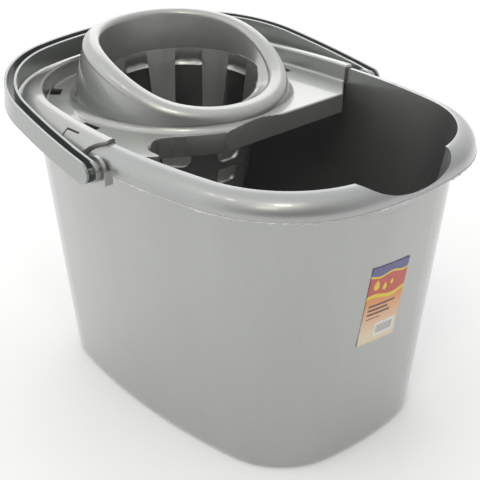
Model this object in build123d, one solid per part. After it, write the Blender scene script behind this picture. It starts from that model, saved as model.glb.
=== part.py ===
from build123d import *
from math import asin, atan, atan2, degrees, hypot, sqrt
import os

os.makedirs("parts", exist_ok=True)

# Bucket outline at the inner edge of the rim: end, corner and side arcs
rim_height = 246.0
half_length = 172.5
half_width = 123.5
end_radius = 290.0
side_radius = 538.0
corner_radius = 85.0

# Bucket walls, which lean in towards a rounded base on a low foot ring
wall = 2.4
lean_in = 23.3
base_round = 8.0
floor_level = 4.6
foot_width = 6.0
foot_height = 1.6

# Rolled rim: a quarter round that hangs outside the wall
rim_width = 15.0
rim_drop = 16.0
crest_flat = 0.2
roll_chamfer = 9.0

# Pouring spout in the front end, a cup that flares outward
spout_setback = 12.5
spout_depth = 34.0
spout_overrun = 16.0
spout_half_width_low = 46.0
spout_half_width_high = 52.0
spout_reach_low = 7.5
spout_bead = 1.4

# Handle bearings on both sides of the bucket
pivot_x = 8.5
pivot_drop = 14.5
ear_radius = 10.5
ear_thickness = 2.8
ear_offset = 0.8
ear_depth = 9.5
web_thickness = 2.4
web_reach = 3.5
web_overlap = 3.0
bore_radius = 5.0
running_gap = 0.06

# Handle: a bail of channel section, open to the top when it lies back
rest_gap = 3.1
handle_gap = 2.2
handle_inset = 4.5
handle_end_radius = 312.0
handle_side_radius = 700.0
handle_corner_radius = 88.0
channel_width = 9.6
channel_depth = 17.0
channel_skin = 2.0
paddle_length = 24.0
bead_width = 1.8
bead_height = 3.2
strap_setback = 2.5
hub_radius = 2.6
hub_height = 2.4
flange_radius = 7.0
peg_overhang = 0.5
rib_angle = 46.0
rib_drop = 1.0

# Wringer: hood over the back half of the rim, with a sunk tray inside it
fit_gap = 0.4
skin = 2.4
hood_drop = 14.0
hood_front = 4.0
hood_slant = 52.0
slant_offset = 4.9
tray_gap = 0.5
tray_corner_radius = 105.0
tray_depth = 11.5
tray_round = 2.5
crest_round = 2.0
tray_hole_length = 15.0
tray_hole_width = 9.0
tray_hole_circle = 105.0
tray_hole_turn = 46.0
side_hole_turn = 96.0
side_hole_length = 17.5

# Wringer: deck that reaches forward of the tray, with a skirt and a finger notch
deck_front = 22.8
deck_back = -14.0
deck_corner = 22.0
skirt_drop = 16.5
deck_edge_round = 1.5
notch_offset = 7.0
notch_inner = 69.448
notch_round = 14.0
notch_round_share = 0.6
lug_width = 2.5

# Wringer: flared collar with a rolled lip, low in front and high at the back
collar_back_gap = 12.1
collar_slope = 0.25
collar_foot = 5.0
lip_overrun_rise = 0.5
lip_front_rise = 9.0
lip_front_offset = 80.0
lip_foot_rise = 14.0
lip_foot_offset = 68.0
lip_slope_rise = 27.8
lip_slope_offset = 40.0
lip_shoulder_rise = 39.7
lip_shoulder_offset = 20.0
lip_side_rise = 46.5
lip_rear_rise = 50.4
lip_rear_offset = 30.0
lip_back_rise = 52.0
lip_width = 23.4
lip_skin = 4.2
lip_outer_round = 7.0
lip_inner_round = 4.5

# Wringer: slotted basket under the collar
throat_rise = 18.5
throat_step = 3.2
lip_cone_rise = 50.5
basket_slope = 0.15
basket_depth = 104.5
basket_skin = 3.6
slot_count = 8
slot_width = 23.8
slot_rise = 4.0
slot_drop = 42.0
slot_round = 7.0
scoop_depth = 2.4
scoop_ledge = 3.0
short_slot_width = 19.5
short_slot_height = 13.5
short_slot_gap = 6.5
short_slot_round = 4.5
drain_radius = 4.5
drain_circle = 24.0

# Wringer: snap tongue in the near side of the hood
tongue_length = 14.0
tongue_offset = 8.0
tongue_back = -40.0
tongue_cut = 1.6
tongue_drop = 12.0

# Paper label stuck on the front wall
label_width = 40.5
label_height = 66.4
label_y = -4.1
label_z = 136.8
label_turn = -5.0
label_thickness = 0.2
glue_gap = 0.05

lean = degrees(atan(lean_in / rim_height))
hood_grow = rim_width + fit_gap + skin
hood_top = rim_height + fit_gap + skin
far = 400.0


def corner_centre(length, width, end_r, side_r, corner_r):
    """centre of the corner arc that touches both the end arc and the side arc"""
    end_x = length - end_r
    side_y = width - side_r
    span = hypot(end_x, side_y)
    first = end_r - corner_r
    second = side_r - corner_r
    along = (span**2 + first**2 - second**2) / (2 * span)
    rise = sqrt(first**2 - along**2)
    ux = -end_x / span
    uy = side_y / span
    return end_x + ux * along - uy * rise, uy * along + ux * rise


def arc_ring(length, width, end_r, side_r, corner_r, grow):
    """closed outline of eight tangent arcs, grown outward by grow"""
    end_x = length - end_r
    side_y = width - side_r
    cx, cy = corner_centre(length, width, end_r, side_r, corner_r)
    first = degrees(atan2(cy, cx - end_x))
    second = degrees(atan2(cy - side_y, cx))
    turn = second - first
    flat = 180 - 2 * second
    arcs = [
        CenterArc((end_x, 0), end_r + grow, -first, 2 * first),
        CenterArc((cx, cy), corner_r + grow, first, turn),
        CenterArc((0, side_y), side_r + grow, second, flat),
        CenterArc((-cx, cy), corner_r + grow, 180 - second, turn),
        CenterArc((-end_x, 0), end_r + grow, 180 - first, 2 * first),
        CenterArc((-cx, -cy), corner_r + grow, 180 + first, turn),
        CenterArc((0, -side_y), side_r + grow, 180 + second, flat),
        CenterArc((cx, -cy), corner_r + grow, 360 - second, turn),
    ]
    return Face(Wire(arcs))


def tub_face(grow):
    """outline of the bucket at the rim, grown outward by grow"""
    return arc_ring(half_length, half_width, end_radius, side_radius, corner_radius, grow)


def lean_at(level):
    """how far the leaning wall stands inside the rim opening at a level"""
    return lean_in * (1 - level / rim_height)


def tub(grow, low, high):
    """leaning block that has the outline tub_face(grow) at the rim height"""
    return extrude(Pos(0, 0, low) * tub_face(grow - lean_at(low)), high - low, taper=-lean)


def upright(grow, low, high):
    """straight block with the outline tub_face(grow)"""
    return extrude(Pos(0, 0, low) * tub_face(grow), high - low)


def dome(grow, low, high):
    """straight block whose top edge is rounded so that only the rim opening stays flat"""
    block = upright(grow, low, high)
    return fillet(block.faces().sort_by(Axis.Z)[-1].edges(), grow - crest_flat)


def behind(x):
    """everything behind the plane at x"""
    return Pos(x - far, 0, 0) * Box(2 * far, 2 * far, 4 * far)


def across(x, y, z, radius, length):
    """cylinder that lies along the width of the bucket"""
    return Pos(x, y, z) * Rot(90, 0, 0) * Cylinder(radius, length)


# Bucket: shell, foot and rolled rim
outside = tub(wall, 0, rim_height - wall)
outside = fillet(outside.faces().sort_by(Axis.Z)[0].edges(), base_round)
cavity = tub(0, floor_level, rim_height + wall)
cavity = fillet(cavity.faces().sort_by(Axis.Z)[0].edges(), base_round - wall)
rim_foot = rim_height - rim_drop
roll = dome(rim_width, rim_foot, rim_height)
under_roll = upright(rim_width - wall, rim_foot - wall, rim_height - wall)
under_roll = chamfer(under_roll.faces().sort_by(Axis.Z)[-1].edges(), roll_chamfer)
foot_recess = upright(wall - lean_in - base_round - foot_width, -wall, foot_height)
bucket = outside + (roll - under_roll) - foot_recess

# Bucket: ears for the handle, each an upright rounded plate on two webs under the rim
pivot_z = rim_height - pivot_drop
ear_inner = half_width + rim_width + ear_offset
ear_outer = ear_inner + ear_thickness
ear_foot = pivot_z - ear_depth
web_length = ear_outer - half_width - rim_width + web_reach
web_height = rim_foot + web_overlap - ear_foot
for side in (-1, 1):
    face = Pos(pivot_x, pivot_z) * Circle(ear_radius)
    face += Pos(pivot_x, (pivot_z + ear_foot) / 2) * Rectangle(2 * ear_radius, ear_depth)
    plate = Pos(0, side * ear_inner, 0) * extrude(Plane.XZ * face, -side * ear_thickness)
    ear_middle = side * (ear_inner + ear_outer) / 2
    bucket += plate - across(pivot_x, ear_middle, pivot_z, bore_radius, 2 * ear_thickness)
    for end in (-1, 1):
        web_x = pivot_x + end * (ear_radius - web_thickness / 2)
        web = Box(web_thickness, web_length, web_height)
        bucket += Pos(web_x, side * (ear_outer - web_length / 2), ear_foot + web_height / 2) * web


def scoop(reach, spread):
    """mouth of the spout, grown by reach to the front and by spread to the sides"""
    low = rim_height - spout_depth
    high = rim_height + spout_overrun
    rise = high - low
    middle = half_length - spout_setback
    foot = Ellipse(spout_reach_low + reach, spout_half_width_low + spread)
    brim = Ellipse(spout_reach_low + rise + reach, spout_half_width_high + spread)
    return loft([Pos(middle, 0, low) * foot, Pos(middle, 0, high) * brim], ruled=True)


# Bucket: spout and hollow
mouth = scoop(0, 0)
mouth_skin = (scoop(sqrt(2) * wall, wall) - mouth) & dome(rim_width, 0, rim_height)
bucket = bucket + mouth_skin - cavity - mouth
rolled_edges = bucket.faces().filter_by(GeomType.TORUS).edges()
scooped_edges = bucket.faces().filter_by(GeomType.BSPLINE).edges()
lip_edge = Wire([edge for edge in scooped_edges if any(edge.is_same(other) for other in rolled_edges)])
bead_start = Plane(lip_edge.position_at(0), z_dir=lip_edge.tangent_at(0))
bead = sweep(bead_start * Circle(spout_bead), path=lip_edge, transition=Transition.ROUND)
bucket += bead & dome(rim_width, 0, rim_height)

# Handle, drawn flat about its pivot line and then laid back
inner_half = ear_outer + handle_gap
handle_reach = half_length + pivot_x - handle_inset
half_depth = channel_depth / 2
handle_tilt = degrees(asin((hood_top + rest_gap + half_depth - pivot_z) / handle_reach))


def bail_face(grow):
    """outline of the bail, its inner face grown outward by grow"""
    return arc_ring(
        handle_reach, inner_half, handle_end_radius, handle_side_radius, handle_corner_radius, grow
    )


def bail(near, far_side, low, high, front):
    """back half of the ring between two outlines"""
    ring = Pos(0, 0, low) * (bail_face(far_side) - bail_face(near))
    return extrude(ring, high - low) & behind(front)


def rounded_end(middle, length):
    """side view of a strap end that is round about the point at middle"""
    bar = Pos(-length / 2, 0) * Rectangle(length, channel_depth)
    return Plane.XZ * Pos(middle, 0) * (Circle(half_depth) + bar)


end_ring = Circle(half_depth) - Circle(half_depth - bead_width)
bead_face = Plane.XZ * (end_ring & Pos(half_depth, 0) * Rectangle(channel_depth, channel_depth))
inner_wall = bail(0, channel_skin, -half_depth, half_depth, half_depth)
inner_wall &= extrude(rounded_end(0, far), far, both=True)
strap = bail(channel_skin, channel_width, -half_depth, half_depth, half_depth)
strap &= extrude(rounded_end(-strap_setback, far), far, both=True)
trough = bail(
    channel_skin, channel_width - channel_skin, channel_skin - half_depth, channel_depth, channel_depth
)
handle = inner_wall + (strap - trough)
rib_room = bail(channel_skin / 2, channel_width - channel_skin / 2, -half_depth, half_depth - rib_drop, 0)
peg_length = handle_gap + ear_thickness + peg_overhang + channel_skin / 2
flange_length = handle_gap - 2 * running_gap
for side in (-1, 1):
    turn = 180 - side * rib_angle
    rib = Rot(0, 0, turn) * Pos(handle_reach / 2, 0, 0) * Box(handle_reach, channel_skin, channel_depth)
    handle += rib & rib_room
    paddle = extrude(rounded_end(0, paddle_length), -side * channel_skin)
    handle += Pos(0, side * inner_half, 0) * paddle
    handle += Pos(0, side * inner_half, 0) * extrude(bead_face, -side * bead_height)
    hub_length = channel_skin + hub_height
    handle += across(0, side * (inner_half + hub_length / 2), 0, hub_radius, hub_length)
    peg_y = side * (inner_half + channel_skin / 2 - peg_length / 2)
    handle += across(0, peg_y, 0, bore_radius - running_gap, peg_length)
    flange_y = side * (inner_half - flange_length / 2)
    handle += across(0, flange_y, 0, flange_radius, flange_length)
handle = Pos(pivot_x, 0, pivot_z) * Rot(0, handle_tilt, 0) * handle

# Wringer: hood over the rim and the tray inside it
hood = dome(hood_grow, rim_foot - skin, hood_top)
hood -= dome(rim_width + fit_gap, rim_foot - 2 * skin, rim_height + fit_gap)
hood -= upright(2 * hood_grow, 0, rim_height - hood_drop)
tray_floor = rim_height - tray_depth


def tray_block(grow, low, high):
    """leaning block with the outline of the tray, rounder in its corners than the bucket"""
    inset = tray_gap + lean_at(low)
    face = arc_ring(half_length, half_width, end_radius, side_radius, tray_corner_radius, grow - inset)
    return extrude(Pos(0, 0, low) * face, high - low, taper=-lean)


def holed_face(solid):
    """the highest face that has a hole through it"""
    return [face for face in solid.faces().sort_by(Axis.Z) if face.inner_wires()][-1]


tray = tray_block(0, tray_floor - skin, hood_top - skin / 2)
tray_space = tray_block(-skin, tray_floor, hood_top + skin)
tray_space = fillet(tray_space.faces().sort_by(Axis.Z)[0].edges(), tray_round)
back = hood + tray - tray_space
back = fillet(holed_face(back).inner_wires()[0].edges(), crest_round) & behind(hood_front)
for side in (-1, 1):
    turn = Pos(hood_front, side * (half_width + slant_offset), 0) * Rot(0, 0, side * hood_slant)
    back -= turn * Pos(far, side * far, 0) * Box(2 * far, 2 * far, 4 * far)

# Wringer: deck that reaches forward from the tray, with its skirt and finger notch
collar_base_radius = (half_length - tray_gap - skin - collar_back_gap + deck_front) / 2
collar_x = deck_front - collar_base_radius
skirt_foot = tray_floor - skirt_drop
deck_side = half_width - lean_at(skirt_foot) - 2 * fit_gap
deck_half_width = deck_side - deck_corner
outline = Polyline(
    (deck_back, -deck_side), (hood_front, -deck_side), (deck_front, -deck_half_width),
    (deck_front, deck_half_width), (hood_front, deck_side), (deck_back, deck_side), close=True,
)
deck_plan = make_face(outline)
notch_end = deck_half_width - lug_width
notch_circle = collar_base_radius + notch_offset
notch_back = collar_x + sqrt(notch_circle**2 - notch_inner**2)
notch = Pos(notch_back + deck_front, -notch_end / 2) * Rectangle(2 * deck_front, notch_end)
notch -= Pos(collar_x, 0) * Circle(notch_circle)
notch_corner = min(notch_round, notch_round_share * (notch_end - notch_inner))
notch = fillet(notch.vertices().group_by(Axis.X)[0], notch_corner)
deck_plan -= notch
under_deck = tray_floor - skin
deck = extrude(Pos(0, 0, skirt_foot) * deck_plan, skirt_drop)
rounded = [edge for edge in deck.faces().sort_by(Axis.Z)[-1].edges() if edge.center().X > notch_back]
deck = fillet(rounded, deck_edge_round)
deck_inside = offset(deck_plan, amount=-skin, kind=Kind.INTERSECTION)
deck -= extrude(Pos(0, 0, skirt_foot) * deck_inside, skirt_drop - skin)
deck -= behind(-2 * skin) & Pos(0, 0, under_deck - far) * Box(2 * far, 2 * far, 2 * far)
shell = back + deck


def turned(profile):
    """solid of revolution about the collar axis from a closed radius and height profile"""
    return Pos(collar_x, 0, 0) * revolve(Plane.XZ * make_face(profile), Axis.Z)


def flare(inset):
    """outside of the collar, from under the deck to above the lip, drawn inward by inset"""
    low = skirt_foot
    high = tray_floor + lip_back_rise + rim_width
    radius = collar_base_radius - inset
    return turned(
        Polyline(
            (0, low), (radius + collar_slope * (tray_floor - low), low),
            (radius - collar_slope * (high - tray_floor), high), (0, high), close=True,
        )
    )


def foot_ring(inset, low):
    """hollow round between the collar and the deck, with the disc under it down to the level low"""
    tilt = sqrt(1 + collar_slope**2)
    radius = collar_base_radius - inset
    tip = (radius + collar_foot, tray_floor)
    shoulder = (radius - collar_slope * collar_foot / tilt, tray_floor + collar_foot / tilt)
    sweep_up = TangentArc(tip, shoulder, tangent=(-1, 0))
    sides = Polyline(shoulder, (0, shoulder[1]), (0, low), (tip[0], low), tip)
    return turned([sweep_up, sides])


def below_lip(drop):
    """everything under the lip line, lowered by drop: an S from the low front to the high back"""
    level = tray_floor - drop
    front = (deck_front + rim_width, level + lip_overrun_rise)
    back_end = (collar_x - collar_base_radius - rim_width, level + lip_back_rise)
    edge = Spline(
        front,
        (collar_x + lip_front_offset, level + lip_front_rise),
        (collar_x + lip_foot_offset, level + lip_foot_rise),
        (collar_x + lip_slope_offset, level + lip_slope_rise),
        (collar_x + lip_shoulder_offset, level + lip_shoulder_rise),
        (collar_x, level + lip_side_rise),
        (collar_x - lip_rear_offset, level + lip_rear_rise),
        back_end,
    )
    sides = Polyline(front, (front[0], 0), (back_end[0], 0), back_end)
    return extrude(Plane.XZ * make_face([edge, sides]), far / 2, both=True)


lip_inner_radius = collar_base_radius - lip_width
throat_radius = lip_inner_radius - throat_step
throat_level = tray_floor + throat_rise
basket_bottom = tray_floor - basket_depth


def basket_radius(level):
    """inside radius of the basket at a level under the throat"""
    return throat_radius - basket_slope * (throat_level - level)


def funnel(grow, low):
    """inside of the throat and the basket, grown outward by grow"""
    bottom_radius = basket_radius(low) + grow
    shoulder = tray_floor + lip_cone_rise
    top = tray_floor + lip_back_rise + rim_drop
    return turned(
        Polyline(
            (0, low), (bottom_radius, low), (throat_radius + grow, throat_level),
            (lip_inner_radius + grow, shoulder), (lip_inner_radius + grow, top), (0, top), close=True,
        )
    )


# Wringer: flared collar with its lip, hollow underneath, and the basket inside it
inside = funnel(0, basket_bottom + basket_skin)
collar = (flare(0) & below_lip(0)) - inside
collar = fillet(holed_face(collar).outer_wire().edges(), lip_outer_round)
collar = fillet(holed_face(collar).inner_wires()[0].edges(), lip_inner_round)
collar -= Pos(0, 0, under_deck - far) * Box(2 * far, 2 * far, 2 * far)
collar += foot_ring(0, under_deck) - inside
basket = funnel(basket_skin, basket_bottom) & below_lip(lip_skin)
hollow = flare(skin) & below_lip(lip_skin)
hollow = (hollow & behind(deck_front - skin)) - basket

wringer = shell + (collar & behind(deck_front)) - hollow + basket - inside

# Wringer: slots all round the basket with a scooped ledge above each, and drain holes
slot_top = tray_floor + slot_rise
slot_height = slot_rise + slot_drop
tall = Pos(0, slot_top - slot_height / 2) * Rectangle(slot_width, slot_height)
tall = fillet(tall.vertices().group_by(Axis.Y)[0], slot_round)
short_level = slot_top - slot_height - short_slot_gap - short_slot_height / 2
short = Pos(0, short_level) * Rectangle(short_slot_width, short_slot_height)
short = fillet(short.vertices().group_by(Axis.Y)[0], short_slot_round)
slot_reach = throat_radius + 3 * basket_skin
ledge_level = slot_top + scoop_ledge
ledge_tip = (basket_radius(ledge_level) + scoop_depth, ledge_level)
hollow_back = TangentArc((throat_radius, throat_level), ledge_tip, tangent=(-basket_slope, -1))
ledge = Polyline(
    ledge_tip, (basket_radius(slot_top), slot_top), (0, slot_top), (0, throat_level),
    (throat_radius, throat_level),
)
scoop_ring = turned([hollow_back, ledge])
sector = Pos(slot_reach / 2, 0, tray_floor) * Box(slot_reach, slot_width, far)
for number in range(slot_count):
    place = Pos(collar_x, 0, 0) * Rot(0, 0, number * 360 / slot_count)
    wringer -= place * extrude(Plane.YZ * (tall + short), slot_reach)
    wringer -= (place * sector) & scoop_ring
    wringer -= place * Pos(drain_circle, 0, basket_bottom) * Cylinder(drain_radius, 4 * basket_skin)

# Wringer: snap tongue on the near side, drain holes beside the collar and in the back of the tray
long_cut = Box(tongue_length + tongue_cut, tongue_cut, tongue_drop)
wringer -= Pos(tongue_back + tongue_length / 2, -half_width - tongue_offset, rim_height) * long_cut
cross_length = hood_grow - tongue_offset
cross_cut = Box(tongue_cut, cross_length, 2 * tongue_drop)
wringer -= Pos(tongue_back, -half_width - tongue_offset - cross_length / 2, rim_height) * cross_cut
for side in (-1, 1):
    for turn, length in ((tray_hole_turn, tray_hole_length), (side_hole_turn, side_hole_length)):
        hole = Pos(tray_hole_circle, 0, 0) * Box(tray_hole_width, length, 4 * skin)
        wringer -= Pos(collar_x, 0, tray_floor) * Rot(0, 0, 180 - side * turn) * hole

# Label: paper that follows the front wall
paper = tub(wall + glue_gap + label_thickness, 0, rim_height) - tub(wall + glue_gap, 0, rim_height)
label_frame = Pos(half_length, label_y, label_z) * Rot(label_turn, 0, 0)
label = paper & (label_frame * Box(half_length, label_width, label_height))

# Every piece moves by half the hood's overhang, so that the middle of the whole lies on the origin
middle_shift = (fit_gap + skin) / 2
pieces = {"bucket": bucket, "wringer": wringer, "handle": handle, "label": label}
for name, solid in pieces.items():
    export_step(Pos(middle_shift, 0, 0) * solid, f"parts/{name}.step")
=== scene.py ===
import math
import bmesh
import bpy
import numpy as np
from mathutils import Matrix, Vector


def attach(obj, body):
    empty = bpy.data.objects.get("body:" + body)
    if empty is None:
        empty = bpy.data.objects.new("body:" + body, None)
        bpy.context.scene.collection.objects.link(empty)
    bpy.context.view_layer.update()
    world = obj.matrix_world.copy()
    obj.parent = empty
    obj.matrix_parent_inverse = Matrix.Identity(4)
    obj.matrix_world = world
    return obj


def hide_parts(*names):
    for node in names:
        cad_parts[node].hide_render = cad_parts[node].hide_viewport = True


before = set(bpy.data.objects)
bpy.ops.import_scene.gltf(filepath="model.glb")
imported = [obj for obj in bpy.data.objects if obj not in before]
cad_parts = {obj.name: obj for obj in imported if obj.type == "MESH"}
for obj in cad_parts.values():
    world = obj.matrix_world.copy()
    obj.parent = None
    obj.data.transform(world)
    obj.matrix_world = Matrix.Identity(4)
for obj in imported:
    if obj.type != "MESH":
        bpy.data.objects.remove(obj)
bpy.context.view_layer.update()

# Bucket: one injection moulding in silver-grey polypropylene with a pearl pigment. Out of the mould it
# has a satin gloss, a fine flake, faint flow marks that run up the walls, and a little dust.

pearl_grey = (0.405, 0.416, 0.41, 1)
dust_white = (0.72, 0.72, 0.70, 1)
flake_scale = 1900.0
flake_tones = (0.955, 1.045)
flow_stretch = (1, 1, 0.16)
flow_scale = 26.0
flow_tone = 0.11
flow_height = 1.5
cloud_scale = 11.0
grain_scale = 640.0
grain_edge = (0.68, 0.76)
dust_clouds = (0.45, 0.7)
dust_most = 0.45
dust_roughness = 0.3
gloss_clouds = (0.3, 0.7)
gloss_roughness = (0.35, 0.42)
peel_scale = 260.0
peel_strength = 0.08
peel_depth = 0.0003
pearl_metal = 0.86
plastic_ior = 1.49
skin_weight = 1.0
skin_roughness = 0.05


def place(tree, kind, settings, **inputs):
    """Adds a shader node: settings are its properties, inputs are values or sockets by input name."""
    made = tree.nodes.new("ShaderNode" + kind)
    for key, value in settings.items():
        setattr(made, key, value)
    for key, value in inputs.items():
        socket = made.inputs[int(key[1:])] if key[0] == "_" else made.inputs[key.replace("_", " ")]
        if isinstance(value, bpy.types.NodeSocket):
            tree.links.new(value, socket)
        else:
            socket.default_value = value
    return made


def math_of(tree, operation, *values):
    """One Math node's result; each value is a number or a socket."""
    inputs = {f"_{number}": value for number, value in enumerate(values)}
    return place(tree, "Math", {"operation": operation}, **inputs).outputs[0]


def remap(tree, value, low, high, new_low, new_high):
    """A value carried from the range low to high onto the range new_low to new_high."""
    made = place(
        tree, "MapRange", {}, Value=value, From_Min=low, From_Max=high, To_Min=new_low, To_Max=new_high
    )
    return made.outputs[0]


def noise(tree, vector, scale, detail):
    """Noise about one half on the given coordinates."""
    return place(tree, "TexNoise", {}, Vector=vector, Scale=scale, Detail=detail).outputs["Fac"]


def mixed(tree, amount, first, second):
    """The first colour turned into the second by an amount from nought to one."""
    return place(tree, "Mix", {"data_type": "RGBA"}, _0=amount, _6=first, _7=second).outputs[2]


def new_group(name, inputs, outputs):
    """An empty node group. Inputs map a socket's name to its kind and value, outputs map it to its kind."""
    tree = bpy.data.node_groups.new(name, "ShaderNodeTree")
    for label, (kind, value) in inputs.items():
        socket = tree.interface.new_socket(label, in_out="INPUT", socket_type="NodeSocket" + kind)
        if value is not None:
            socket.default_value = value
    for label, kind in outputs.items():
        tree.interface.new_socket(label, in_out="OUTPUT", socket_type="NodeSocket" + kind)
    return tree, tree.nodes.new("NodeGroupInput").outputs, tree.nodes.new("NodeGroupOutput").inputs


def pearl_moulding_group():
    """Moulded pearl plastic: flakes from cells, flow marks from stretched noise, dust from fine noise."""
    tree, given, result = new_group(
        "pearl_moulding",
        {
            "Vector": ("Vector", None), "Grey": ("Color", pearl_grey), "Flow": ("Float", 1.0),
            "Dust": ("Float", 1.0),
        },
        {"Color": "Color", "Roughness": "Float", "Height": "Float"},
    )
    flakes = place(tree, "TexVoronoi", {}, Vector=given["Vector"], Scale=flake_scale)
    flake_tone = place(tree, "SeparateColor", {}, Color=flakes.outputs["Color"]).outputs[0]
    flake_tone = remap(tree, flake_tone, 0, 1, *flake_tones)
    stretch = place(tree, "Mapping", {}, Vector=given["Vector"], Scale=flow_stretch)
    flow = math_of(tree, "SUBTRACT", noise(tree, stretch.outputs[0], flow_scale, 3.0), 0.5)
    flow = math_of(tree, "MULTIPLY", flow, given["Flow"])
    tone = math_of(tree, "MULTIPLY", flake_tone, math_of(tree, "MULTIPLY_ADD", flow, flow_tone, 1.0))
    grey = place(
        tree, "Mix", {"data_type": "RGBA", "blend_type": "MULTIPLY"}, _0=1.0, _6=given["Grey"], _7=tone
    ).outputs[2]
    clouds = noise(tree, given["Vector"], cloud_scale, 3.0)
    grains = noise(tree, given["Vector"], grain_scale, 2.0)
    specks = remap(tree, grains, *grain_edge, 0, 1)
    specks = math_of(tree, "MULTIPLY", specks, remap(tree, clouds, *dust_clouds, 0, dust_most))
    specks = math_of(tree, "MULTIPLY", specks, given["Dust"])
    tree.links.new(mixed(tree, specks, grey, dust_white), result["Color"])
    gloss = remap(tree, clouds, *gloss_clouds, *gloss_roughness)
    tree.links.new(math_of(tree, "MULTIPLY_ADD", specks, dust_roughness, gloss), result["Roughness"])
    peel = noise(tree, given["Vector"], peel_scale, 1.0)
    tree.links.new(math_of(tree, "MULTIPLY_ADD", flow, flow_height, peel), result["Height"])
    return tree


pearl_moulding = pearl_moulding_group()


def pearl_plastic(name, grey, flow, dust, edge_round):
    """Silver plastic: a mostly metallic base under a thin clear gloss, with softened edges."""
    material = bpy.data.materials.new(name)
    material.use_nodes = True
    tree = material.node_tree
    shader = tree.nodes["Principled BSDF"]
    coords = place(tree, "TexCoord", {}).outputs["Object"]
    finish = place(
        tree, "Group", {"node_tree": pearl_moulding}, Vector=coords, Grey=grey, Flow=flow, Dust=dust
    ).outputs
    edges = place(tree, "Bevel", {"samples": 6}, Radius=edge_round).outputs[0]
    bump = place(
        tree, "Bump", {}, Strength=peel_strength, Distance=peel_depth, Height=finish["Height"], Normal=edges
    )
    tree.links.new(finish["Color"], shader.inputs["Base Color"])
    tree.links.new(finish["Roughness"], shader.inputs["Roughness"])
    tree.links.new(bump.outputs[0], shader.inputs["Normal"])
    shader.inputs["Metallic"].default_value = pearl_metal
    shader.inputs["IOR"].default_value = plastic_ior
    shader.inputs["Coat Weight"].default_value = skin_weight
    shader.inputs["Coat Roughness"].default_value = skin_roughness
    return material


bucket_pearl = pearl_plastic("bucket_pearl", pearl_grey, flow=1.0, dust=1.0, edge_round=0.0006)
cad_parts["bucket"].material_slots[0].material = bucket_pearl

# Rim flash: a thin torn fin of plastic under the outer edge of the rim, where the halves of the mould
# close. It is part of the bucket's moulding and shows in front of the wringer. Its grey, paler than the
# bucket's, is a painted highlight along the rim's lower edge.

rim_foot = 0.2303
rim_reach = 0.015
outline_end = (0.1725, 0.290)
outline_side = (0.1235, 0.538)
outline_corner = 0.085
outline_steps = 160
frame_shift = 0.0014
flash_start = 0.024
flash_rows = 4
flash_thickness = 0.00025
# Paler than the bucket's grey: a painted highlight for the bright line along the fin.
flash_grey_and_highlight = (0.62, 0.63, 0.625, 1)
tear_size = np.array([1, 0.7, 0.5, 0.4, 0.3])
tear_pitch = np.array([95, 241, 613, 1511, 2903])
tear_start = np.array([0, 1.2, 2.4, 0, 0.7])
tear_limits = (0.3, 2.3)
fin_drops = (0.0004, 0.0007)
fin_leans = (0.0001, 0.0004)
fin_lean_pitch = 330


def sheet_mesh(name, x, y, z):
    """A mesh of quads over three equal grids of coordinates, with a UV map that runs 0 to 1 both ways."""
    rows, columns = x.shape
    points = np.stack([x, y, z], axis=-1).reshape(-1, 3)
    corner = (np.arange(rows - 1)[:, None] * columns + np.arange(columns - 1)).reshape(-1, 1)
    quads = corner + np.array([0, 1, columns + 1, columns])
    mesh = bpy.data.meshes.new(name)
    mesh.from_pydata(points.tolist(), [], quads.tolist())
    across = (quads % columns) / (columns - 1)
    along = (quads // columns) / (rows - 1)
    layer = mesh.uv_layers.new(name="UVMap")
    layer.data.foreach_set("uv", np.stack([across, along], axis=-1).reshape(-1))
    mesh.polygons.foreach_set("use_smooth", np.ones(len(quads), dtype=bool))
    piece = bpy.data.objects.new(name, mesh)
    bpy.context.scene.collection.objects.link(piece)
    return piece


def thicken(piece, thickness):
    """Gives a sheet its thickness on the side that its faces turn away from."""
    wall = piece.modifiers.new("thickness", "SOLIDIFY")
    wall.thickness = thickness
    wall.offset = -1


def rim_outline(grow, steps):
    """Points and outward directions round the front half of the rim, grown outward by grow: a side arc, a
    corner arc that touches both its neighbours, the end arc, and the same mirrored."""
    end_x = outline_end[0] - outline_end[1]
    side_y = outline_side[0] - outline_side[1]
    span = math.hypot(end_x, side_y)
    first = outline_end[1] - outline_corner
    second = outline_side[1] - outline_corner
    run = (span**2 + first**2 - second**2) / (2 * span)
    rise = math.sqrt(first**2 - run**2)
    corner_x = end_x - end_x / span * run - side_y / span * rise
    corner_y = side_y / span * run - end_x / span * rise
    turn_end = math.atan2(corner_y, corner_x - end_x)
    turn_side = math.atan2(corner_y - side_y, corner_x)
    arcs = [
        (0.0, side_y, outline_side[1], math.pi / 2, turn_side),
        (corner_x, corner_y, outline_corner, turn_side, turn_end),
        (end_x, 0.0, outline_end[1], turn_end, -turn_end),
        (corner_x, -corner_y, outline_corner, -turn_end, -turn_side),
        (0.0, -side_y, outline_side[1], -turn_side, -math.pi / 2),
    ]
    angle = np.concatenate([np.linspace(arc[3], arc[4], steps, endpoint=False) for arc in arcs])
    radius = np.repeat([arc[2] for arc in arcs], steps) + grow
    middle_x = np.repeat([arc[0] for arc in arcs], steps) + frame_shift
    middle_y = np.repeat([arc[1] for arc in arcs], steps)
    out_x, out_y = np.cos(angle), np.sin(angle)
    return middle_x + radius * out_x, middle_y + radius * out_y, out_x, out_y


edge_x, edge_y, out_x, out_y = rim_outline(rim_reach, outline_steps)
kept = edge_x > flash_start
edge_x, edge_y, out_x, out_y = edge_x[kept], edge_y[kept], out_x[kept], out_y[kept]
travel = np.concatenate([[0], np.cumsum(np.hypot(np.diff(edge_x), np.diff(edge_y)))])
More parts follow.
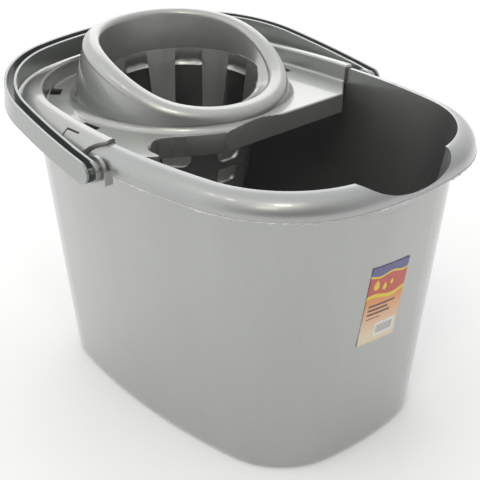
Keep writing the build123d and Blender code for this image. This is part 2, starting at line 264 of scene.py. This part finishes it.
# The torn edge is a sum of sines along the rim, and its low parts are cut off level.
torn = (tear_size * np.sin(travel[:, None] * tear_pitch + tear_start)).sum(axis=1)
fin_drop = fin_drops[0] + fin_drops[1] * (np.clip(torn, *tear_limits) - tear_limits[0])
fin_lean = fin_leans[0] + fin_leans[1] * np.sin(fin_lean_pitch * travel) ** 2
down = np.linspace(1, 0, flash_rows)[:, None]
flash = sheet_mesh(
    "rim_flash",
    edge_x + out_x * fin_lean * down,
    edge_y + out_y * fin_lean * down,
    rim_foot - fin_drop * down,
)
thicken(flash, flash_thickness)
flash_pearl = pearl_plastic("flash_pearl", flash_grey_and_highlight, flow=0.5, dust=0.5, edge_round=0.0001)
flash.data.materials.append(flash_pearl)
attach(flash, "bucket")

# Label: varnished paper, printed in five inks and glued on the front wall a little askew. Two of its
# corners have come away from the wall.

rim_level = 0.246
wall_lean = 0.0233
wall_out = 0.0024
label_middle = (-0.0041, 0.1368)
label_half = (0.02025, 0.0332)
label_turn = math.radians(5)
label_grid = (33, 53)
paper_stand = 0.00027
paper_thickness = 0.0002
paper_ripple = 0.00003
corner_lift = 0.0005
corner_power = 5
ink_red = (0.60, 0.085, 0.062, 1)
ink_yellow = (0.85, 0.66, 0.03, 1)
ink_blue = (0.115, 0.105, 0.27, 1)
ink_brown = (0.10, 0.045, 0.03, 1)
ink_orange = (0.82, 0.31, 0.10, 1)
paper_cream = (0.85, 0.72, 0.52, 1)
paper_white = (0.82, 0.82, 0.79, 1)
ink_edge = 0.006

# The print, as shares of the label: waves by swing, turns and start; drops by middle, foot, half width and
# height; bars by foot, right end and height; panels by left, right, foot and top.
orange_fade = (0.12, 0.56)
low_wave = (0.022, 1.1, 0.4)
low_wave_levels = (0.585, 0.63)
high_wave = (0.016, 1.6, 2.2)
high_wave_levels = (0.862, 0.886)
print_drops = ((0.2, 0.70, 0.075, 0.13), (0.42, 0.675, 0.055, 0.1), (0.6, 0.72, 0.04, 0.075))
print_bars = ((0.485, 0.80, 0.026), (0.43, 0.62, 0.026), (0.375, 0.70, 0.026), (0.325, 0.46, 0.012))
bar_left = 0.10
white_panel = (0.38, 0.92, 0.07, 0.245)
stripe_panel = (0.43, 0.87, 0.105, 0.21)
stripe_count = 26
stripe_edge = 0.2
stripe_ink = 0.8
drop_fullness = 2.6
fibre_scale = 900.0
fibre_pale = (0.35, 0.75)
fibre_pale_most = 0.10
fibre_gloss = (0.3, 0.7)
fibre_roughness = (0.32, 0.44)
fibre_strength = 0.10
fibre_depth = 0.0002
varnish_weight = 0.15
varnish_roughness = 0.2

grid_u, grid_v = np.meshgrid(np.linspace(-1, 1, label_grid[0]), np.linspace(-1, 1, label_grid[1]))
label_u = grid_u * label_half[0]
label_v = grid_v * label_half[1]
label_y = label_middle[0] + math.cos(label_turn) * label_u + math.sin(label_turn) * label_v
label_z = label_middle[1] - math.sin(label_turn) * label_u + math.cos(label_turn) * label_v
loose = np.where(grid_u * grid_v > 0, (np.abs(grid_u) * np.abs(grid_v)) ** corner_power, 0)
ripple = paper_ripple * np.sin(9 * grid_u + 4 * grid_v) * np.cos(5 * grid_v)
label_radius = outline_end[1] + wall_out - wall_lean * (1 - label_z / rim_level)
label_radius = label_radius + paper_stand + ripple + corner_lift * loose
label_x = frame_shift + outline_end[0] - outline_end[1] + np.sqrt(label_radius**2 - label_y**2)
label = sheet_mesh("label_print", label_x, label_y, label_z)
thicken(label, paper_thickness)


def soft_step(tree, value, edge):
    """Nought below an edge and one above it, with a short ramp."""
    return remap(tree, math_of(tree, "SUBTRACT", value, edge), -ink_edge / 2, ink_edge / 2, 0, 1)


def band_mask(tree, value, low, high):
    """One between two edges: a step up at the low one times a step down at the high one."""
    turned = math_of(tree, "MULTIPLY", value, -1)
    return math_of(tree, "MULTIPLY", soft_step(tree, value, low), soft_step(tree, turned, -high))


def block_mask(tree, u, v, left, right, low, high):
    """One inside an upright rectangle of the label."""
    return math_of(tree, "MULTIPLY", band_mask(tree, u, left, right), band_mask(tree, v, low, high))


def wave_mask(tree, u, v, level, swing, turns, start):
    """One above a sine wave of the given swing round a level."""
    angle = math_of(tree, "MULTIPLY_ADD", u, turns * 2 * math.pi, start)
    edge = math_of(tree, "MULTIPLY_ADD", math_of(tree, "SINE", angle), swing, level)
    return soft_step(tree, v, edge)


def drop_mask(tree, u, v, middle, low, wide, tall):
    """One inside a drop: its half width goes as the root of the height times what is left of the height."""
    height = math_of(tree, "DIVIDE", math_of(tree, "SUBTRACT", v, low), tall)
    height = math_of(tree, "MINIMUM", math_of(tree, "MAXIMUM", height, 0), 1)
    reach = math_of(tree, "MULTIPLY", math_of(tree, "SQRT", height), math_of(tree, "SUBTRACT", 1, height))
    reach = math_of(tree, "MULTIPLY", reach, drop_fullness * wide)
    aside = math_of(tree, "ABSOLUTE", math_of(tree, "SUBTRACT", u, middle))
    return soft_step(tree, reach, math_of(tree, "ADD", aside, ink_edge / 2))


def printed_paper():
    """Varnished paper with waves, drops, plain bars and a white panel, drawn on the label's own UV map."""
    material = bpy.data.materials.new("printed_paper")
    material.use_nodes = True
    tree = material.node_tree
    shader = tree.nodes["Principled BSDF"]
    flat = place(tree, "TexCoord", {}).outputs["UV"]
    split = place(tree, "SeparateXYZ", {}, Vector=flat).outputs
    u, v = split["X"], split["Y"]
    ink = mixed(tree, remap(tree, v, *orange_fade, 0, 1), paper_cream, ink_orange)
    ink = mixed(tree, wave_mask(tree, u, v, low_wave_levels[0], *low_wave), ink, ink_yellow)
    ink = mixed(tree, wave_mask(tree, u, v, low_wave_levels[1], *low_wave), ink, ink_red)
    for drop in print_drops:
        ink = mixed(tree, drop_mask(tree, u, v, *drop), ink, ink_yellow)
    ink = mixed(tree, wave_mask(tree, u, v, high_wave_levels[0], *high_wave), ink, ink_yellow)
    ink = mixed(tree, wave_mask(tree, u, v, high_wave_levels[1], *high_wave), ink, ink_blue)
    for low, right, tall in print_bars:
        ink = mixed(tree, block_mask(tree, u, v, bar_left, right, low, low + tall), ink, ink_brown)
    ink = mixed(tree, block_mask(tree, u, v, *white_panel), ink, paper_white)
    stripes = math_of(tree, "SINE", math_of(tree, "MULTIPLY", u, 2 * math.pi * stripe_count))
    stripes = remap(tree, stripes, -stripe_edge, stripe_edge, 0, stripe_ink)
    panel = block_mask(tree, u, v, *stripe_panel)
    ink = mixed(tree, math_of(tree, "MULTIPLY", stripes, panel), ink, ink_brown)
    coords = place(tree, "TexCoord", {}).outputs["Object"]
    fibre = noise(tree, coords, fibre_scale, 4.0)
    ink = mixed(tree, remap(tree, fibre, *fibre_pale, 0.0, fibre_pale_most), ink, paper_white)
    tree.links.new(ink, shader.inputs["Base Color"])
    tree.links.new(remap(tree, fibre, *fibre_gloss, *fibre_roughness), shader.inputs["Roughness"])
    bump = place(tree, "Bump", {}, Strength=fibre_strength, Distance=fibre_depth, Height=fibre)
    tree.links.new(bump.outputs[0], shader.inputs["Normal"])
    shader.inputs["Coat Weight"].default_value = varnish_weight
    shader.inputs["Coat Roughness"].default_value = varnish_roughness
    return material


label.data.materials.append(printed_paper())
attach(label, "bucket")
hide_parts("label")

# Wringer: one injection moulding in the same plastic, clipped over the back half of the rim. Here its faces
# are welded, the collar's wide lip is cut off for the rolled lip below, the finger notch gets its round nose,
# and the tray's side holes are widened.

wringer_grey = (0.455, 0.466, 0.449, 1)
collar_axis = -0.06595
tray_level = 0.2345
collar_radius = 0.09015
collar_slope = 0.25
lip_line_along = np.array([-0.10515, -0.030, -0.009, 0.0115, 0.0285, 0.0423, 0.0525, 0.0612, 0.072, 0.10515])
lip_line_rise = np.array([0.052, 0.0500, 0.0455, 0.0380, 0.0301, 0.0234, 0.0192, 0.0164, 0.0136, 0.011])
throat_rise = np.array([0.0, 0.0185, 0.0505, 0.060])
throat_radius = np.array([0.060775, 0.06355, 0.06675, 0.06675])
throat_cover = 0.00004
lip_width = (0.0131, 0.0014)
lip_cover = 0.0002
lip_inner_round = 0.005
lip_outer_round = 0.0088
lip_throat_drop = 0.008
lip_throat_low = (0.0045, 0.0187)
crest_steps = 4
settling_rounds = 10
cut_turns = 180
cut_steps = 8
cut_sunk = 0.0005
cut_outside = 0.003
cut_middle = 0.030
cut_above = 0.065
notch_points = np.array([
    [0.0246, -0.0315], [0.0206, -0.0400], [0.0172, -0.0465], [0.0114, -0.0562],
    [0.0053, -0.0658], [0.0016, -0.0726], [-0.0001, -0.0777], [0.0012, -0.0835],
    [0.0071, -0.0900], [0.0115, -0.0932], [0.0170, -0.0953], [0.0246, -0.0953],
])
notch_steps = 64
notch_front = 0.034
notch_levels = (0.205, 0.2365)
hole_turn = math.radians(84)
hole_reach = (0.0972, 0.1030)
hole_half_length = 0.00875
hole_levels = (0.228, 0.2365)
weld_distance = 0.00002
crease_angle = math.radians(30)

wringer_pearl = pearl_plastic("wringer_pearl", wringer_grey, flow=0.6, dust=0.7, edge_round=0.0007)


def smooth_line(along, knots, values):
    """Natural cubic spline through the knots: its bends solve the usual three-term system."""
    gap = np.diff(knots)
    slope = np.diff(values) / gap
    count = len(knots)
    inner = np.arange(1, count - 1)
    system = np.eye(count)
    system[inner, inner - 1] = gap[:-1]
    system[inner, inner] = 2 * (gap[:-1] + gap[1:])
    system[inner, inner + 1] = gap[1:]
    bend = np.zeros(count)
    bend[1:-1] = 6 * np.diff(slope)
    bend = np.linalg.solve(system, bend)
    span = np.clip(np.searchsorted(knots, along) - 1, 0, count - 2)
    before = (knots[span + 1] - along) / gap[span]
    after = 1 - before
    bow = (before**3 - before) * bend[span] + (after**3 - after) * bend[span + 1]
    return before * values[span] + after * values[span + 1] + bow * gap[span] ** 2 / 6


def lip_line(along):
    """Height of the lip over the tray, by the distance in x from the collar's axis."""
    return smooth_line(np.clip(along, lip_line_along[0], lip_line_along[-1]), lip_line_along, lip_line_rise)


def lip_sections(turn, steps, sunk):
    """Radius and height over the tray of the lip's section at each turn, sunk into the wall by a length:
    up the collar's outside, over a quarter round, across the crest, over the inner round, into the throat.
    The lip's height depends on its inner radius and the other way round, so both are settled in rounds."""
    inner = np.full_like(turn, throat_radius[-1])
    for _ in range(settling_rounds):
        base = lip_line(inner * np.cos(turn))
        inner = collar_radius - collar_slope * base - lip_width[0] - lip_width[1] * np.cos(turn)
    bend = np.linspace(0, np.pi / 2, steps)[:, None]
    share = np.linspace(0, 1, crest_steps + 2)[1:-1, None]
    top = base - sunk
    edge = collar_radius - collar_slope * (base - lip_outer_round) + lip_cover - sunk
    outer_radius = edge - lip_outer_round * (1 - np.cos(bend))
    outer_height = top - lip_outer_round * (1 - np.sin(bend))
    crest_start = inner + lip_inner_round
    crest_radius = outer_radius[-1:] + (crest_start - outer_radius[-1:]) * share
    inner_radius = crest_start - (lip_inner_round - sunk) * np.sin(bend)
    inner_height = top - lip_inner_round * (1 - np.cos(bend))
    low = np.clip(base - lip_throat_drop, *lip_throat_low) + sunk
    low_radius = np.interp(low, throat_rise, throat_radius) - throat_cover + 2 * sunk
    radius = np.concatenate([outer_radius, crest_radius, inner_radius, low_radius])
    height = np.concatenate([outer_height, np.repeat(top, crest_steps, axis=0), inner_height, low])
    return radius, height


def ring_mesh(name, turn, radius, height, closed):
    """Mesh of sections swept about the collar's axis. The last turn joins the first, and a closed section's
    last point joins its first."""
    rows, columns = radius.shape
    x = collar_axis + radius * np.cos(turn)
    y = radius * np.sin(turn)
    points = np.stack([x, y, tray_level + height], axis=-1)
    row, column = np.meshgrid(np.arange(rows if closed else rows - 1), np.arange(columns), indexing="ij")
    next_row = (row + 1) % rows
    next_column = (column + 1) % columns
    corners = [(row, column), (row, next_column), (next_row, next_column), (next_row, column)]
    faces = np.stack([a * columns + b for a, b in corners], axis=-1).reshape(-1, 4)
    mesh = bpy.data.meshes.new(name)
    mesh.from_pydata(points.reshape(-1, 3), [], faces.tolist())
    mesh.polygons.foreach_set("use_smooth", np.ones(len(faces), dtype=bool))
    mesh.validate()
    ring = bpy.data.objects.new(name, mesh)
    bpy.context.scene.collection.objects.link(ring)
    return ring


def notch_edge(steps):
    """Points along the finger notch's edge, from the deck's front to the lug: a spline by chord length."""
    chord = np.concatenate([[0], np.cumsum(np.hypot(*np.diff(notch_points, axis=0).T))])
    run = np.linspace(0, chord[-1], steps)
    return smooth_line(run, chord, notch_points[:, 0]), smooth_line(run, chord, notch_points[:, 1])


def prism_tool(name, plan_x, plan_y, levels):
    """Closed upright prism between two heights over an outline that runs anticlockwise, seen from above."""
    count = len(plan_x)
    corner = np.arange(count)
    following = np.roll(corner, -1)
    points = np.concatenate([np.stack([plan_x, plan_y, np.full(count, level)], axis=1) for level in levels])
    sides = np.stack([corner, following, following + count, corner + count], axis=1).tolist()
    mesh = bpy.data.meshes.new(name)
    mesh.from_pydata(points, [], sides + [corner[::-1].tolist(), (corner + count).tolist()])
    prism = bpy.data.objects.new(name, mesh)
    bpy.context.scene.collection.objects.link(prism)
    return prism


# The first cutter takes off all that lies over the rolled lip's section, sunk so that the lip covers the cut.
cut_turn = np.linspace(0, 2 * np.pi, cut_turns, endpoint=False)[None, :]
cut_radius, cut_height = lip_sections(cut_turn, cut_steps, cut_sunk)
outside = cut_radius[:1] + cut_outside
middle = np.full_like(outside, cut_middle)
above = np.full_like(outside, cut_above)
cut_radius = np.concatenate([outside, cut_radius, middle, middle, outside])
cut_height = np.concatenate([cut_height[:1], cut_height, cut_height[-1:], above, above])
cutters = [ring_mesh("lip_cutter", cut_turn, cut_radius[::-1], cut_height[::-1], True)]

notch_x, notch_y = notch_edge(notch_steps)
notch_plan_x = np.concatenate([notch_x, [notch_front, notch_front]])
notch_plan_y = np.concatenate([notch_y, [notch_y[-1], notch_y[0]]])
cutters.append(prism_tool("notch_cutter", notch_plan_x, notch_plan_y, notch_levels))

hole_radius = np.array([hole_reach[0], hole_reach[1], hole_reach[1], hole_reach[0]])
hole_along = hole_half_length * np.array([-1, -1, 1, 1])
for side in (-1, 1):
    hole_x = collar_axis + hole_radius * math.cos(hole_turn) - side * hole_along * math.sin(hole_turn)
    hole_y = side * hole_radius * math.sin(hole_turn) + hole_along * math.cos(hole_turn)
    cutters.append(prism_tool("hole_cutter", hole_x, hole_y, hole_levels))

welded = bmesh.new()
welded.from_mesh(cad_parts["wringer"].data)
welded.transform(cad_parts["wringer"].matrix_world)
bmesh.ops.remove_doubles(welded, verts=welded.verts, dist=weld_distance)
moulding_mesh = bpy.data.meshes.new("wringer_moulding")
welded.to_mesh(moulding_mesh)
welded.free()
moulding = bpy.data.objects.new("wringer_moulding", moulding_mesh)
bpy.context.scene.collection.objects.link(moulding)
for tool in cutters:
    cut = moulding.modifiers.new(tool.name, "BOOLEAN")
    cut.operation = "DIFFERENCE"
    cut.solver = "EXACT"
    cut.object = tool
trimmed = moulding.evaluated_get(bpy.context.evaluated_depsgraph_get())
moulding.data = bpy.data.meshes.new_from_object(trimmed)
moulding.modifiers.clear()
for tool in cutters:
    bpy.data.objects.remove(tool)
moulding.data.polygons.foreach_set("use_smooth", np.ones(len(moulding.data.polygons), dtype=bool))
moulding.data.set_sharp_from_angle(angle=crease_angle)
moulding.data.materials.clear()
moulding.data.materials.append(wringer_pearl)
even = moulding.modifiers.new("even_normals", "WEIGHTED_NORMAL")
even.keep_sharp = True
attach(moulding, "bucket")
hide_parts("wringer")

# Notch skirt: the wall that hangs from the deck's edge round the finger notch and ends in a round nose beside
# the lug. It is moulded with the wringer and nearly as thick as its other walls.

skirt_levels = (0.2344, 0.218)
skirt_thickness = 0.0022
skirt_steps = 96
skirt_end = 0.0105

wall_x, wall_y = notch_edge(skirt_steps)
# The wall starts at the deck's front and stops where the edge comes forward again beside the lug.
kept = (np.cumsum(wall_x < skirt_end) == 0) | (wall_x < skirt_end)
wall_z = np.array(skirt_levels)[:, None] * np.ones(kept.sum())
skirt = sheet_mesh("notch_skirt", wall_x[kept] + 0 * wall_z, wall_y[kept] + 0 * wall_z, wall_z)
thicken(skirt, skirt_thickness)
skirt.modifiers.new("even_normals", "WEIGHTED_NORMAL")
skirt.data.materials.append(wringer_pearl)
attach(skirt, "bucket")

# Collar lip: the rolled edge of the collar, low in front and high at the back, about as wide as a finger.
# It is the part of the wringer's moulding that the mop is pressed against, smooth and without an edge.

lip_turns = 288
lip_steps = 12
lip_thickness = 0.001
lip_foot = (0.0035, 0.0058)
lip_foot_gap = 0.0005

lip_turn = np.linspace(0, 2 * np.pi, lip_turns, endpoint=False)[None, :]
lip_radius, lip_height = lip_sections(lip_turn, lip_steps, 0.0)
foot_high = np.minimum(lip_foot[1], lip_height[:1] - lip_foot_gap)
foot_low = np.full_like(foot_high, lip_foot[0])
low_radius = collar_radius - collar_slope * foot_low - lip_cover
high_radius = collar_radius - collar_slope * foot_high + lip_cover
lip_radius = np.concatenate([low_radius, high_radius, lip_radius])
lip_height = np.concatenate([foot_low, foot_high, lip_height])
lip = ring_mesh("collar_lip", lip_turn, lip_radius, lip_height, False)
thicken(lip, lip_thickness)
lip.modifiers.new("even_normals", "WEIGHTED_NORMAL")
lip.data.materials.append(wringer_pearl)
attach(lip, "bucket")

# Handle: a bail of channel section, moulded in the same plastic, whose two pegs snap into the ears of
# the bucket. It is a touch darker than the bucket.

handle_grey = (0.345, 0.36, 0.353, 1)
handle_pearl = pearl_plastic("handle_pearl", handle_grey, flow=0.6, dust=0.6, edge_round=0.0006)
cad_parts["handle"].material_slots[0].material = handle_pearl

# Floor: a white paper sweep, laid flat and wide enough that no edge of it shows. Its paper is lifted a
# little towards white for the camera and for reflections, and it keeps the bucket's shadow.

plain_white = (1, 1, 1, 1)
floor_reach = 14.0
floor_points = 9
floor_white = (0.88, 0.88, 0.88, 1)
floor_lift = 0.16

floor_line = np.linspace(-floor_reach, floor_reach, floor_points)
floor_x, floor_y = np.meshgrid(floor_line, floor_line)
floor = sheet_mesh("floor", floor_x, floor_y, 0 * floor_x)
paper = bpy.data.materials.new("white_sweep")
paper.use_nodes = True
paper_tree = paper.node_tree
paper_tree.nodes.clear()
matt = place(paper_tree, "BsdfDiffuse", {}, Color=floor_white)
glow = place(paper_tree, "Emission", {}, Color=plain_white, Strength=floor_lift)
lifted = place(paper_tree, "AddShader", {}, _0=matt.outputs[0], _1=glow.outputs[0])
ray = place(paper_tree, "LightPath", {}).outputs
looked_at = math_of(paper_tree, "MAXIMUM", ray["Is Camera Ray"], ray["Is Glossy Ray"])
looked_at = math_of(paper_tree, "MAXIMUM", looked_at, ray["Is Transmission Ray"])
shown = place(paper_tree, "MixShader", {}, _0=looked_at, _1=matt.outputs[0], _2=lifted.outputs[0])
surface = place(paper_tree, "OutputMaterial", {})
paper_tree.links.new(shown.outputs[0], surface.inputs["Surface"])
floor.data.materials.append(paper)

# Light: a pale studio, bright behind the bucket, on its left and overhead, and dim on the camera's side,
# with a soft lamp behind, two warm ones above the camera and two small ones that make the glints.

away_from_camera = (-0.740, 0.672, 0.0)
towards_camera = (0.740, -0.672, 0.0)
camera_left = (-0.672, -0.740, 0.0)
camera_right = (0.672, 0.740, 0.0)
overhead = (0.0, 0.0, 1.0)
studio_walls = (
    (away_from_camera, 1.0),
    (towards_camera, 0.13),
    (camera_left, 1.15),
    (camera_right, 0.55),
    (overhead, 1.0),
)
lamp_aim = (0, 0, 0.15)
neutral_white = (1, 1, 1)
warm_white = (1, 0.96, 0.82)

world = bpy.data.worlds.new("studio")
bpy.context.scene.world = world
world.use_nodes = True
sky = world.node_tree
sky.nodes.clear()
direction = place(sky, "TexCoord", {}).outputs["Generated"]
level = 0.0
for middle, brightness in studio_walls:
    facing = place(sky, "VectorMath", {"operation": "DOT_PRODUCT"}, _0=direction, _1=middle).outputs["Value"]
    facing = math_of(sky, "POWER", math_of(sky, "MAXIMUM", facing, 0.0), 2.0)
    level = math_of(sky, "MULTIPLY_ADD", facing, brightness, level)
white = place(sky, "Background", {}, Color=plain_white, Strength=level)
sky_out = place(sky, "OutputWorld", {})
sky.links.new(white.outputs[0], sky_out.inputs["Surface"])


def softbox(name, spot, side, power, colour):
    """A square area lamp at spot that faces the bucket."""
    lamp = bpy.data.lights.new(name, "AREA")
    lamp.shape = "SQUARE"
    lamp.size = side
    lamp.energy = power
    lamp.color = colour
    box = bpy.data.objects.new(name, lamp)
    box.location = spot
    box.rotation_mode = "QUATERNION"
    box.rotation_quaternion = (Vector(lamp_aim) - Vector(spot)).to_track_quat("-Z", "Y")
    bpy.context.scene.collection.objects.link(box)


softbox("back_light", (-1.03, 0.93, 0.95), side=1.2, power=3.4, colour=neutral_white)
softbox("high_light", (0.64, -0.58, 1.38), side=0.25, power=1.8, colour=warm_white)
softbox("left_light", (0.64, -0.96, 1.11), side=0.35, power=1.0, colour=warm_white)
softbox("first_glint", (-0.10, -0.97, 1.46), side=0.16, power=0.5, colour=warm_white)
softbox("second_glint", (-0.45, -0.90, 1.35), side=0.13, power=0.3, colour=warm_white)

# Camera: a long lens at the front near corner of the bucket, above the rim. It looks down at the bucket's
# middle, and has no shift and no depth of field.

camera_azimuth = math.radians(47.77)
camera_elevation = math.radians(27.5)
camera_distance = 0.9055
camera_target = Vector((0.0049, 0.00056, 0.1239))
camera_lens = 81.34
camera_sensor = 36

back = Vector((
    math.sin(camera_azimuth) * math.cos(camera_elevation),
    -math.cos(camera_azimuth) * math.cos(camera_elevation),
    math.sin(camera_elevation),
))
lens = bpy.data.cameras.new("camera")
lens.lens = camera_lens
lens.sensor_width = camera_sensor
camera = bpy.data.objects.new("camera", lens)
camera.location = camera_target + back * camera_distance
camera.rotation_mode = "QUATERNION"
camera.rotation_quaternion = (-back).to_track_quat("-Z", "Y")
bpy.context.scene.collection.objects.link(camera)
bpy.context.scene.camera = camera
bpy.context.scene.view_settings.view_transform = "Standard"
